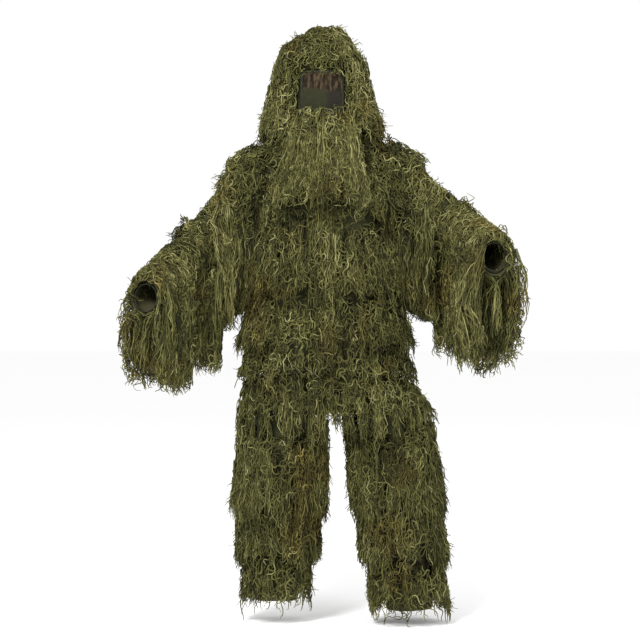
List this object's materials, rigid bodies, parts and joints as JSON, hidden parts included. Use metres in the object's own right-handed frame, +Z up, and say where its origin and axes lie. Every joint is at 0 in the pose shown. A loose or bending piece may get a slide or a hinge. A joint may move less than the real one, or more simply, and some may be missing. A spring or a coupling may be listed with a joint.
{
  "type": "ghillie suit",
  "caption": "Hooded jacket and trousers covered in tiers of hanging olive thread, with a mesh face screen, chin curtain and wide sleeves, posed as if worn.",
  "frame": {"origin": "the point of the neck base that the jacket hangs from on a wearer's shoulders", "axes": "+Z up, the front faces -Y, +X is the wearer's left"},
  "size_m": [1.2414, 0.605, 1.786],
  "materials": {
    "thread_fringe": "matte",
    "base_cloth": "matte",
    "screen_mesh": "matte",
    "binding_tape": "matte",
    "elastic_webbing": "matte",
    "snap_metal": "satin"
  },
  "bodies": {
    "jacket": {"jacket_back_panel": "base_cloth", "jacket_front_left_panel": "base_cloth", "jacket_front_right_panel": "base_cloth", "collar_band": "base_cloth", "jacket_hem_elastic": "elastic_webbing", "snap_studs": "snap_metal", "yoke_fringe_back": "thread_fringe", "yoke_fringe_front_left": "thread_fringe", "yoke_fringe_front_right": "thread_fringe", "chest_fringe_back": "thread_fringe", "chest_fringe_front_left": "thread_fringe", "chest_fringe_front_right": "thread_fringe", "waist_fringe_back": "thread_fringe", "waist_fringe_front_left": "thread_fringe", "waist_fringe_front_right": "thread_fringe", "hem_fringe_back": "thread_fringe", "hem_fringe_front_left": "thread_fringe", "hem_fringe_front_right": "thread_fringe"},
    "placket": {"placket_flap": "base_cloth", "placket_fringe": "thread_fringe", "snap_caps": "snap_metal"},
    "hood": {"hood_shell": "base_cloth", "hood_crown_fringe": "thread_fringe", "hood_side_fringe_left": "thread_fringe", "hood_side_fringe_right": "thread_fringe", "hood_back_fringe": "thread_fringe"},
    "veil": {"face_screen": "screen_mesh", "face_binding": "binding_tape", "chin_panel": "base_cloth", "brow_fringe": "thread_fringe", "chin_curtain_fringe": "thread_fringe"},
    "trousers": {"trousers_seat": "base_cloth", "waist_elastic": "elastic_webbing", "hip_fringe_front": "thread_fringe", "hip_fringe_back": "thread_fringe"},
    "right_sleeve": {"right_upper_sleeve": "base_cloth", "right_shoulder_fringe": "thread_fringe", "right_upper_sleeve_fringe": "thread_fringe"},
    "right_forearm": {"right_lower_sleeve": "base_cloth", "right_lower_sleeve_fringe": "thread_fringe", "right_cuff_elastic": "elastic_webbing"},
    "right_upper_leg": {"right_thigh": "base_cloth", "right_thigh_fringe": "thread_fringe"},
    "right_lower_leg": {"right_shin": "base_cloth", "right_shin_fringe": "thread_fringe", "right_ankle_fringe": "thread_fringe", "right_ankle_elastic": "elastic_webbing"},
    "left_sleeve": {"left_upper_sleeve": "base_cloth", "left_shoulder_fringe": "thread_fringe", "left_upper_sleeve_fringe": "thread_fringe"},
    "left_forearm": {"left_lower_sleeve": "base_cloth", "left_lower_sleeve_fringe": "thread_fringe", "left_cuff_elastic": "elastic_webbing"},
    "left_upper_leg": {"left_thigh": "base_cloth", "left_thigh_fringe": "thread_fringe"},
    "left_lower_leg": {"left_shin": "base_cloth", "left_shin_fringe": "thread_fringe", "left_ankle_fringe": "thread_fringe", "left_ankle_elastic": "elastic_webbing"}
  },
  "joints": [
    {"name": "hood_turn", "type": "hinge", "parent": "jacket", "child": "hood", "pos_m": [-0.009, 0.008, 0], "axis": [0, 0, 1], "range_deg": [-20, 20]},
    {"name": "veil_lift", "type": "hinge", "parent": "hood", "child": "veil", "pos_m": [-0.009, -0.117, 0.206], "axis": [-1, 0, 0], "range_deg": [0, 75]},
    {"name": "placket_open", "type": "hinge", "parent": "jacket", "child": "placket", "pos_m": [-0.038, -0.128, -0.39], "axis": [0, 0, -1], "range_deg": [0, 25]},
    {"name": "trousers_slide", "type": "slide", "parent": "jacket", "child": "trousers", "axis": [0, 0, 1], "range_m": [-0.25, 0]},
    {"name": "right_sleeve_raise", "type": "hinge", "parent": "jacket", "child": "right_sleeve", "pos_m": [-0.192, 0, -0.025], "axis": [0, 1, 0], "range_deg": [0, 40]},
    {"name": "right_elbow_swing", "type": "hinge", "parent": "right_sleeve", "child": "right_forearm", "pos_m": [-0.392, -0.022, -0.332], "axis": [0, 0, 1], "range_deg": [-15, 20]},
    {"name": "right_hip_swing", "type": "hinge", "parent": "trousers", "child": "right_upper_leg", "pos_m": [-0.125, 0, -0.84], "axis": [-1, 0, 0], "range_deg": [-15, 30]},
    {"name": "right_knee_bend", "type": "hinge", "parent": "right_upper_leg", "child": "right_lower_leg", "pos_m": [-0.14, 0, -1.115], "axis": [1, 0, 0], "range_deg": [0, 40]},
    {"name": "left_sleeve_raise", "type": "hinge", "parent": "jacket", "child": "left_sleeve", "pos_m": [0.192, 0, -0.025], "axis": [0, -1, 0], "range_deg": [0, 40]},
    {"name": "left_elbow_swing", "type": "hinge", "parent": "left_sleeve", "child": "left_forearm", "pos_m": [0.404, -0.028, -0.275], "axis": [0, 0, -1], "range_deg": [-15, 20]},
    {"name": "left_hip_swing", "type": "hinge", "parent": "trousers", "child": "left_upper_leg", "pos_m": [0.19, 0, -0.84], "axis": [-1, 0, 0], "range_deg": [-15, 30]},
    {"name": "left_knee_bend", "type": "hinge", "parent": "left_upper_leg", "child": "left_lower_leg", "pos_m": [0.224, -0.02, -1.115], "axis": [1, 0, 0], "range_deg": [0, 40]}
  ]
}
